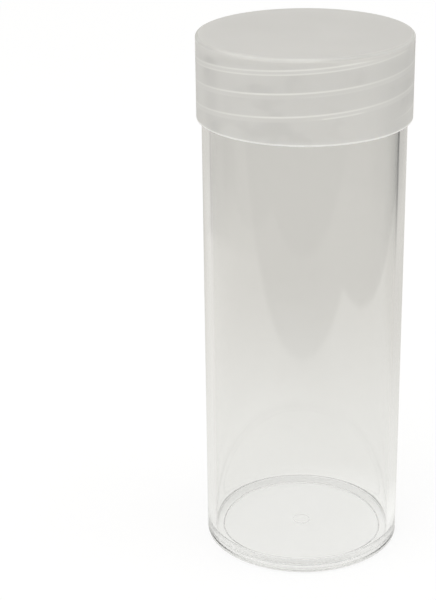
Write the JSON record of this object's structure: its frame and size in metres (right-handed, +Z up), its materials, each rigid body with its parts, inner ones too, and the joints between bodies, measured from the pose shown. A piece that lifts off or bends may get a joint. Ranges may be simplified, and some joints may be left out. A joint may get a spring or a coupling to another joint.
{
  "type": "coin tube",
  "caption": "Clear round tube for a stack of coins, with a threaded neck and a frosted screw cap that rises as it turns.",
  "frame": {"origin": "centre of the foot ring's lower face, on the tube's axis", "axes": "+Z up along the tube's axis towards the cap; the picture looks along +Y, with +X to the right"},
  "size_m": [0.029, 0.029, 0.074],
  "materials": {
    "clear_styrene": "clear, glossy",
    "frosted_cap_plastic": "translucent, satin"
  },
  "bodies": {
    "tube": {"tube_body": "clear_styrene"},
    "cap_carrier": {"cap_gate_mark": "frosted_cap_plastic"},
    "cap": {"screw_cap": "frosted_cap_plastic"}
  },
  "joints": [
    {"name": "cap_rise", "type": "slide", "parent": "tube", "child": "cap_carrier", "axis": [0, 0, 1], "range_m": [0, 0.018]},
    {"name": "cap_turn", "type": "hinge", "parent": "cap_carrier", "child": "cap", "pos_m": [0, 0, 0.0683], "axis": [0, 0, 1], "range_deg": [0, 1080]}
  ],
  "couplings": [
    {"joint": "cap_turn", "follows": "cap_rise", "rad_per_m": 1047.2}
  ]
}
